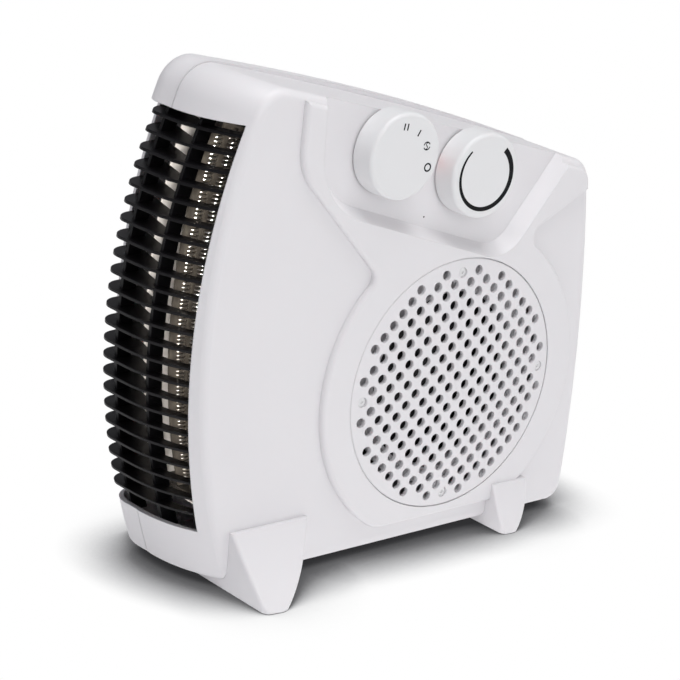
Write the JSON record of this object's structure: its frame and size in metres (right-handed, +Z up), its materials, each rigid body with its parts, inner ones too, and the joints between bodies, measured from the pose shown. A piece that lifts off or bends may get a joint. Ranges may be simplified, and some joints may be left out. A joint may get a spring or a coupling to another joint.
{
  "type": "fan heater",
  "caption": "Upright portable fan heater with slatted front outlet, perforated side intake, two rotary controls and flared feet.",
  "frame": {"origin": "centre of the bounding box, on the floor under the feet", "axes": "+Z up; +X out of the control and intake face; -Y out of the outlet grille; +Y towards the back"},
  "size_m": [0.12, 0.2356, 0.2257],
  "materials": {
    "casing": "satin white ABS, lightly textured",
    "knob": "satin white ABS, smoother than the casing",
    "grille": "black heat-resistant plastic",
    "duct": "dark heat-resistant plastic",
    "wheel": "black moulded plastic",
    "shield": "galvanised sheet",
    "mica": "dark mica board",
    "wire": "resistance wire",
    "steel": "bright steel",
    "laminations": "stacked steel sheets, lacquered",
    "winding": "enamelled copper wire under tape",
    "zinc": "die-cast",
    "bronze": "sintered bronze",
    "switch_body": "moulded thermoset",
    "lens": "clear red",
    "lamp_glass": "small neon tube",
    "terminal": "natural nylon",
    "cable": "white flexible sheath",
    "rivet": "white nylon push rivet"
  },
  "bodies": {
    "casing": {"control_shell": "casing", "back_shell": "casing", "intake_guard": "casing", "front_foot": "casing", "rear_foot": "casing", "outlet_grille": "grille", "scroll_housing": "duct", "inlet_plate": "casing", "heat_shield": "shield", "element_frame": "mica", "heating_coils": "wire", "thermal_cutout": "steel", "thermal_fuse": "steel", "selector_switch": "switch_body", "thermostat": "switch_body", "control_nuts": "steel", "pilot_lens": "lens", "pilot_lamp": "lamp_glass", "motor_stator": "laminations", "motor_coil": "winding", "motor_brackets": "zinc", "motor_bushes": "bronze", "motor_screws": "steel", "casing_screws": "steel", "guard_rivets": "rivet", "foot_screws": "steel", "terminal_block": "terminal", "cord_clamp": "terminal", "cable_grommet": "cable", "mains_cable": "cable"},
    "selector": {"selector_knob": "knob", "selector_shaft": "steel"},
    "thermostat_dial": {"thermostat_knob": "knob", "thermostat_shaft": "steel"},
    "blower": {"impeller": "wheel", "motor_shaft": "steel", "motor_rotor": "laminations"}
  },
  "joints": [
    {"name": "selector_turn", "type": "hinge", "parent": "casing", "child": "selector", "pos_m": [0.03, -0.01, 0.1887], "axis": [1, 0, 0], "range_deg": [-119, 0]},
    {"name": "thermostat_turn", "type": "hinge", "parent": "casing", "child": "thermostat_dial", "pos_m": [0.03, 0.0379, 0.1749], "axis": [1, 0, 0], "range_deg": [-245, 33]},
    {"name": "blower_spin", "type": "hinge", "parent": "casing", "child": "blower", "pos_m": [0, 0.0337, 0.0768], "axis": [1, 0, 0], "continuous": true}
  ]
}
